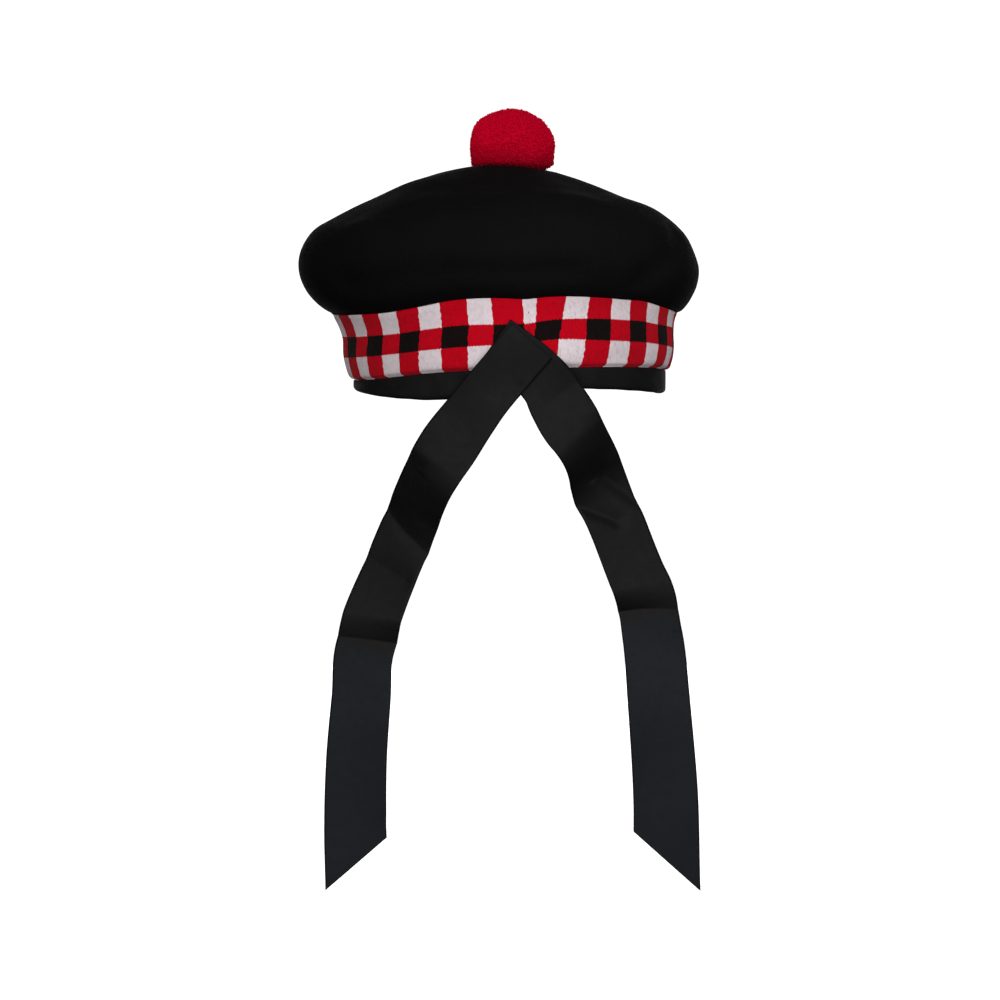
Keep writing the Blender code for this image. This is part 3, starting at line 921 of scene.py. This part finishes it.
class BALMORAL_OT_band(bpy.types.Operator):
    """Knit the diced band, stitch by stitch, in its three yarns"""

    bl_idname = "balmoral.band"
    bl_label = "Knit Band"

    def execute(self, context):
        sizes, knit = context.scene.bonnet_sizes, context.scene.bonnet_knit
        grid, turn, course, count = knit_grid(sizes, knit)
        hem = rim_height(sizes, turn[-1]) + fold_radius(sizes) - sizes.clearance
        hems = [
            around(turn[-1], tucked_radius(sizes) - wall, rim_shift(sizes), hem)[None]
            for wall in (0, sizes.band_wall)
        ]
        pick = np.arange(0, len(grid), 2 * knit.courses)
        height = grid[pick, :, 2]
        lift = np.clip((height - height[-1]) / (height[0] - height[-1]), 0, 1)
        radius, shift = knit_form(sizes, lift)
        inner = around(turn[pick], radius - sizes.band_wall, shift, height)
        inner[0, :, 2] += 4 * sizes.clearance
        uv = grid_uv(np.arange(grid.shape[1] + 1) / 4, np.append(course, -knit.courses))
        cloth = knit_finish(context.scene.bonnet_colours)
        outer, inner = np.concatenate([grid, hems[0]]), np.concatenate([inner, hems[1]])
        obj = shell("knit_band", outer, inner, uv, cloth)
        rows = np.append((course[:-1] + course[1:]) / 2 / knit.courses, INNER_ROWS)
        yarn = yarn_of(np.floor(count + ROUNDING), rows[:, None])
        layer = obj.data.attributes.new("yarn", "FLOAT", "FACE")
        layer.data.foreach_set("value", yarn.ravel().astype(np.float32))
        settle(obj, "band_knit", "diced_band")
        return {"FINISHED"}


# The binding

BINDING_COLUMNS = 360
OUTER_STEPS = 6
FOLD_STEPS = 14
INNER_STEPS = 5
TAPE_SWELL = 31, 14, 0.014, 0.00012


def binding_grid(sizes):
    """The tape's outer face, from its upper edge outside, round the fold, to its upper edge inside."""
    turn = all_round(BINDING_COLUMNS)
    fold = fold_radius(sizes)
    tape, level = tape_height(sizes, turn), rim_height(sizes, turn) + fold
    bend = math.pi * np.arange(FOLD_STEPS + 1)[:, None] / FOLD_STEPS
    down = np.arange(OUTER_STEPS)[:, None] / OUTER_STEPS
    up = np.arange(1, INNER_STEPS + 1)[:, None] / INNER_STEPS
    height = [tape + down * (level - tape), level - fold * np.sin(bend), level + up * (tape - level)]
    reach = np.concatenate([down * 0 + 1, np.cos(bend), up * 0 - 1])
    radius = sizes.binding_radius - fold + fold * reach
    return around(turn, radius, rim_shift(sizes), np.concatenate(height))


class BALMORAL_OT_binding(bpy.types.Operator):
    """Fold the woven tape round the rim"""

    bl_idname = "balmoral.binding"
    bl_label = "Fold Binding"

    def execute(self, context):
        sizes = context.scene.bonnet_sizes
        grid = binding_grid(sizes)
        grid = grid + facing(grid, True) * soft_noise(grid, *TAPE_SWELL)[..., None]
        pick = np.unique([*range(0, len(grid), 2), len(grid) - 1])
        inner = (grid - facing(grid, True) * sizes.tape_wall)[pick]
        uv = grid_uv(hoop(BINDING_COLUMNS, sizes.binding_radius), path_run(grid[:, 0]))
        tape = tape_finish(context.scene.bonnet_colours.tape)
        settle(shell("bound_edge", grid, inner, uv, tape), "binding_tape", "binding")
        return {"FINISHED"}


# The tails

TAIL_ROWS = 420
TAIL_COLUMNS = 25

# The share of a tail's length, from its tip, over which the slant of its cut builds up

SLANT_REACH = 0.14

# From where to where down a tail it works loose, and each tail's ripple

FREE = 0.10, 0.25
RIPPLES = (41, 10, 0.03, 0.00025), (42, 10, 0.03, 0.00025)

# How a fold's upper side curves: 1 is straight, above 1 steeper at the fold

FOLD_CURVE = 1.4

# Where a ribbon lies: how far out on the stitches in shares of the band's radius, how much of the way
# in to the rim it follows, and between which shares of the binding's and the dicing's heights it does so

SEAT_RADIUS = 1.011
SEAT_EASE = 0.8
SEAT_FOOT = -0.6
SEAT_TOP = 0.9


def ribbon_seat(sizes, height):
    """The radius and shift at which a ribbon lies: on the stitches above, easing in to the rim below."""
    down = 1 - ease(SEAT_FOOT * sizes.binding_height, SEAT_TOP * sizes.dicing_height, height)
    narrowing = sizes.band_radius - sizes.binding_radius
    return sizes.band_radius * SEAT_RADIUS - down * narrowing * SEAT_EASE, down * rim_shift(sizes)


def tail_grid(sizes, rows, side, layer, cut):
    """The side of a tail that faces the bonnet, from its top to its tip and from side to side."""
    last = rows.down[-1]
    down = np.linspace(0, last, TAIL_ROWS)
    share = np.linspace(-0.5, 0.5, TAIL_COLUMNS)

    def middle(at):
        x = sizes.tail_spread * curve(rows.down, rows.across, at)
        y = -sizes.band_radius * curve(rows.down, rows.stand, at)
        return np.stack([x, y, sizes.tail_top - sizes.tail_drop * at], axis=-1)

    step = 1e-3
    way = middle(np.minimum(down + step, last)) - middle(np.maximum(down - step, 0))
    way /= np.linalg.norm(way, axis=-1, keepdims=True)
    across = np.stack([-way[:, 2], 0 * way[:, 0], way[:, 0]], axis=-1)
    across /= np.linalg.norm(across, axis=-1, keepdims=True)
    outward = np.cross(way, across)
    turn = np.radians(curve(rows.down, rows.turn, down))[:, None]
    across = across * np.cos(turn) - outward * side * np.sin(turn)
    hold = np.clip(curve(rows.down, rows.hold, down), 0, 1)[:, None]
    width = (sizes.ribbon_width * curve(rows.down, rows.width, down))[:, None, None]
    slant = (ease(1 - SLANT_REACH, 1.0, down / last) * cut)[:, None, None]
    grid = middle(down)[:, None] + across[:, None] * width * share[None, :, None]
    grid = grid + way[:, None] * slant * share[None, :, None] * side
    radius, shift = ribbon_seat(sizes, grid[..., 2])
    seat = radius + sizes.clearance + layer * (sizes.ribbon_wall + sizes.clearance)
    laid = -np.sqrt(np.maximum(seat**2 - (grid[..., 0] - shift) ** 2, 0))
    grid[..., 1] += hold * (laid - grid[..., 1])
    return down, share, grid


def fold_depth(sizes, folds, down, share):
    """How far the pressed folds draw a tail in at each place on it."""
    here = np.stack(np.meshgrid(down, share, indexing="ij"), axis=-1)
    depth = np.zeros(here.shape[:-1])
    for fold in folds:
        off = off_line(here, fold, (sizes.tail_drop, sizes.ribbon_width))
        above = off[..., 0] < 0
        away = np.linalg.norm(off, axis=-1) / (np.where(above, fold.above, fold.below) * sizes.ribbon_width)
        slope = np.where(above, np.maximum(1 - away, 0) ** FOLD_CURVE, np.exp(-away * away))
        depth += fold.depth * sizes.ribbon_width * slope
    return depth


def make_tail(sizes, ribbon, name, node, rows, folds, side, layer, cut):
    """One tail: side is 1 for the right one, layer is how many ribbons lie under it."""
    down, share, grid = tail_grid(sizes, rows, side, layer, cut)
    ripple = soft_noise(grid, *RIPPLES[layer]) * ease(*FREE, down)[:, None]
    grid = grid + facing(grid, False) * (ripple - fold_depth(sizes, folds, down, share))[..., None]
    outer = grid + facing(grid, False) * sizes.ribbon_wall
    run = path_run(grid[:, TAIL_COLUMNS // 2])
    run -= np.interp((folds[0].down_a + folds[0].down_b) / 2, down, run)
    uv = grid_uv((share + 0.5) * sizes.ribbon_width, run)
    obj = settle(shell(name, outer, grid, uv, ribbon, closed=False), "ribbon_cloth", node)


class BALMORAL_OT_tails(bpy.types.Operator):
    """Hang the two ribbon tails, the left one over the right"""

    bl_idname = "balmoral.tails"
    bl_label = "Hang Tails"

    def execute(self, context):
        sizes = context.scene.bonnet_sizes
        colours = context.scene.bonnet_colours
        ribbon = ribbon_finish(colours.ribbon, colours.ribbon_lit_foot)
        tails = (
            ("ribbon_left", "tail_left", LEFT_TAIL, LEFT_FOLDS, -1, 1, sizes.tip_cut),
            ("ribbon_right", "tail_right", RIGHT_TAIL, RIGHT_FOLDS, 1, 0, sizes.right_tip_cut),
        )
        for tail in tails:
            make_tail(sizes, ribbon, *tail)
        return {"FINISHED"}


# The toorie

BUN_RINGS = 40
BUN_COLUMNS = 72

# The core's rings: how they crowd towards its foot, how far down they reach, and the least radius

BUN_CROWDING = 0.8
BUN_SPAN = 0.999
BUN_TIP = 0.0004
BUN_SWELL = 51, 16, 0.012, 0.00035

# The depth of the pile over the core, and its yarn ends

PILE_DEPTH = 0.0015
PILE = {"Spacing": 0.00078, "End Width": 0.00046, "End Length": 0.0014, "Lean": 0.35, "Seed": 5}


def grown(obj, tree, values):
    """The plain mesh that the tree makes on the object, which takes the object's place."""
    modifier = obj.modifiers.new("grow", "NODES")
    modifier.node_group = tree
    for item in tree.interface.items_tree:
        if item.in_out == "INPUT" and item.name in values:
            modifier[item.identifier] = values[item.name]
    graph = bpy.context.evaluated_depsgraph_get()
    mesh = bpy.data.meshes.new_from_object(obj.evaluated_get(graph), depsgraph=graph)
    obj.modifiers.remove(modifier)
    mesh.materials.clear()
    mesh.materials.append(obj.data.materials[0])
    obj.data = mesh
    return obj


def pile_tree():
    """Yarn ends on a surface: spread at random, standing out from it, with uneven lengths and leans."""
    tree = bpy.data.node_groups.new("yarn_pile", "GeometryNodeTree")
    kinds = {"Geometry": "NodeSocketGeometry", "Seed": "NodeSocketInt", "Wool": "NodeSocketMaterial"}
    for label in ("Geometry", *PILE, "Wool"):
        kind = kinds.get(label, "NodeSocketFloat")
        socket = tree.interface.new_socket(label, in_out="INPUT", socket_type=kind)
        if label in PILE:
            socket.default_value = PILE[label]
    tree.interface.new_socket("Geometry", in_out="OUTPUT", socket_type="NodeSocketGeometry")

    def add(kind, settings=None, **inputs):
        return add_node(tree, kind, settings, **inputs).outputs

    start = add("NodeGroupInput")
    poisson = {"distribute_method": "POISSON"}
    spread = add(
        "GeometryNodeDistributePointsOnFaces", poisson,
        Mesh=start["Geometry"], Distance_Min=start["Spacing"], Density_Max=4e6, Seed=start["Seed"],
    )
    tuft = add("GeometryNodeMeshIcoSphere", Radius=1.0, Subdivisions=1)
    width = start["End Width"]
    size = add("ShaderNodeCombineXYZ", X=width, Y=width, Z=start["End Length"])
    uneven = add("FunctionNodeRandomValue", _2=0.75, _3=1.25, Seed=1)
    scaled = {"operation": "SCALE"}
    grow = add("ShaderNodeVectorMath", scaled, Vector=size["Vector"], Scale=uneven[1])
    vector = {"data_type": "FLOAT_VECTOR"}
    lean = add("FunctionNodeRandomValue", vector, _0=(-1, -1, -1), _1=(1, 1, 1), Seed=2)
    tilt = add("ShaderNodeVectorMath", scaled, Vector=lean[0], Scale=start["Lean"])
    local = {"rotation_space": "LOCAL"}
    turn = add("FunctionNodeRotateRotation", local, Rotation=spread["Rotation"], Rotate_By=tilt["Vector"])
    plant = add(
        "GeometryNodeInstanceOnPoints", Points=spread["Points"], Instance=tuft["Mesh"],
        Rotation=turn["Rotation"], Scale=grow["Vector"],
    )
    real = add("GeometryNodeRealizeInstances", Geometry=plant["Instances"])
    rounded = add("GeometryNodeSetShadeSmooth", Geometry=real["Geometry"])
    join = add_node(tree, "GeometryNodeJoinGeometry", Geometry=rounded["Geometry"])
    tree.links.new(start["Geometry"], join.inputs["Geometry"])
    joined = join.outputs["Geometry"]
    finish = add("GeometryNodeSetMaterial", Geometry=joined, Material=start["Wool"])
    add("NodeGroupOutput", Geometry=finish["Geometry"])
    return tree


class BALMORAL_OT_toorie(bpy.types.Operator):
    """Grow the toorie of cut wool in the crown's dimple"""

    bl_idname = "balmoral.toorie"
    bl_label = "Grow Toorie"

    def execute(self, context):
        sizes = context.scene.bonnet_sizes
        floor = crown_height(sizes) - sizes.dimple_depth + 2 * sizes.clearance
        rise = 1 - np.linspace(0.0, 1.0, BUN_RINGS) ** BUN_CROWDING * BUN_SPAN
        reach = curve(BUN.rise, BUN.reach, rise) * sizes.toorie_radius - PILE_DEPTH
        shift = curve(BUN.rise, BUN.shift, rise) * sizes.toorie_radius + sizes.toorie_shift
        height = floor + PILE_DEPTH + rise * (sizes.toorie_height - 2 * PILE_DEPTH)
        rings = [*zip(np.maximum(reach, BUN_TIP), shift, height)]
        rings += [(share * reach[-1], sizes.toorie_shift, floor + PILE_DEPTH) for share in (0.6, 0.2)]
        grid = np.stack([around(all_round(BUN_COLUMNS), *ring) for ring in rings])
        grid = grid + facing(grid, True) * soft_noise(grid, *BUN_SWELL)[..., None]
        wool = pile_finish(context.scene.bonnet_colours.toorie, floor, sizes.toorie_height)
        uv = grid_uv(np.arange(BUN_COLUMNS + 1.0), np.arange(float(len(grid))))
        obj = grown(solid("wool_toorie", grid, uv, wool), pile_tree(), {**PILE, "Wool": wool})
        settle(obj, "toorie_wool", "toorie")
        return {"FINISHED"}


# The stage

CAMERA_PLACE = (-0.0044, -1.5, -0.0586)
CAMERA_LENS = 98.18
FLOOR_HEIGHT = -0.30
SWEEP_RADIUS = 6.0
SWEEP_BEND = 2.0
SWEEP_HEIGHT = 6.0
SWEEP_COLUMNS = 96


def soft_light(name, place, aim, size, power):
    light = bpy.data.lights.new(name, "AREA")
    light.shape = "RECTANGLE"
    light.size, light.size_y = size
    light.energy = power
    obj = bpy.data.objects.new(name, light)
    bpy.context.scene.collection.objects.link(obj)
    obj.location = place
    way = [end - start for start, end in zip(place, aim)]
    obj.rotation_euler = Vector(way).to_track_quat("-Z", "Y").to_euler()
    obj.visible_camera = False


def sweep_mesh(pale):
    """A round floor that curves up into a wall behind and beside the bonnet."""
    bend = np.linspace(0, math.pi / 2, 13)
    flat = SWEEP_RADIUS - SWEEP_BEND
    radius = [*(flat * np.arange(1, 4) / 4), *(flat + SWEEP_BEND * np.sin(bend)), SWEEP_RADIUS]
    height = [0, 0, 0, *(SWEEP_BEND * (1 - np.cos(bend))), SWEEP_HEIGHT]
    height = FLOOR_HEIGHT + np.array(height)[:, None]
    grid = around(all_round(SWEEP_COLUMNS), np.array(radius)[:, None], 0, height)[:, ::-1]
    face, _ = quads(len(grid), SWEEP_COLUMNS, True, 0, False)
    middle = len(grid) * SWEEP_COLUMNS
    faces = face.tolist() + [[middle, k, (k + 1) % SWEEP_COLUMNS] for k in range(SWEEP_COLUMNS)]
    points = np.concatenate([grid.reshape(-1, 3), [[0, 0, FLOOR_HEIGHT]]])
    uv = np.zeros((4 * len(face) + 3 * SWEEP_COLUMNS, 2))
    return mesh_of("pale_sweep", points, faces, uv, pale)


class BALMORAL_OT_stage(bpy.types.Operator):
    """Set up the camera, the pale sweep and the soft lights"""

    bl_idname = "balmoral.stage"
    bl_label = "Set Stage"

    def execute(self, context):
        scene = context.scene
        camera = bpy.data.cameras.new("photo_view")
        camera.lens = CAMERA_LENS
        camera.sensor_width = 36
        camera.clip_end = 50
        obj = bpy.data.objects.new("photo_view", camera)
        scene.collection.objects.link(obj)
        obj.location = CAMERA_PLACE
        obj.rotation_euler = (math.radians(90), 0, 0)
        scene.camera = obj

        pale = Shade("pale_sweep", (0.9, 0.9, 0.9), 0.9, specular=0.2)
        pale.set("Emission Color", (1, 1, 1, 1))
        pale.set("Emission Strength", 1.0)
        sweep = sweep_mesh(pale.finish())
        sweep.visible_diffuse = False
        sweep.visible_glossy = False
        sweep.visible_shadow = False

        world = bpy.data.worlds.new("studio")
        world.use_nodes = True
        tree = world.node_tree
        sky = tree.nodes["Background"].inputs
        way = add_node(tree, "ShaderNodeTexCoord").outputs["Generated"]
        height = add_node(tree, "ShaderNodeSeparateXYZ", Vector=way).outputs["Z"]
        limits = {"From_Min": -0.6, "From_Max": 0.6, "To_Min": 0.02, "To_Max": 0.08}
        glow = add_node(tree, "ShaderNodeMapRange", Value=height, **limits)
        tree.links.new(glow.outputs["Result"], sky["Strength"])
        sky["Color"].default_value = (1, 1, 1, 1)
        scene.world = world
        scene.view_settings.view_transform = "Standard"
        soft_light("key", (0.15, -2.2, 0.5), (0, 0, 0), (6.0, 2.6), 115)
        soft_light("rear", (0.0, 2.4, 0.3), (0, 0, -0.1), (3.0, 2.0), 40)
        return {"FINISHED"}


class BALMORAL_PT_bonnet(bpy.types.Panel):
    """Sizes, colours and steps of the bonnet"""

    bl_label = "Balmoral Bonnet"
    bl_idname = "BALMORAL_PT_bonnet"
    bl_space_type = "VIEW_3D"
    bl_region_type = "UI"
    bl_category = "Bonnet"

    def draw(self, context):
        layout = self.layout
        for name, group in GROUPS:
            box = layout.box()
            for key in group.__annotations__:
                box.prop(getattr(context.scene, name), key)
        for step in STEPS:
            layout.operator(step.bl_idname)


STEPS = (
    BALMORAL_OT_crown,
    BALMORAL_OT_band,
    BALMORAL_OT_binding,
    BALMORAL_OT_tails,
    BALMORAL_OT_toorie,
    BALMORAL_OT_stage,
)
GROUPS = (("bonnet_sizes", BonnetSizes), ("bonnet_knit", BonnetKnit), ("bonnet_colours", BonnetColours))


def register():
    for name, group in GROUPS:
        bpy.utils.register_class(group)
        setattr(bpy.types.Scene, name, bpy.props.PointerProperty(type=group))
    for made in (*STEPS, BALMORAL_PT_bonnet):
        bpy.utils.register_class(made)


def unregister():
    for made in reversed((*STEPS, BALMORAL_PT_bonnet)):
        bpy.utils.unregister_class(made)
    for name, group in reversed(GROUPS):
        delattr(bpy.types.Scene, name)
        bpy.utils.unregister_class(group)


def main():
    register()
    bpy.ops.balmoral.crown()
    bpy.ops.balmoral.band()
    bpy.ops.balmoral.binding()
    bpy.ops.balmoral.tails()
    bpy.ops.balmoral.toorie()
    bpy.ops.balmoral.stage()


if __name__ == "__main__":
    main()
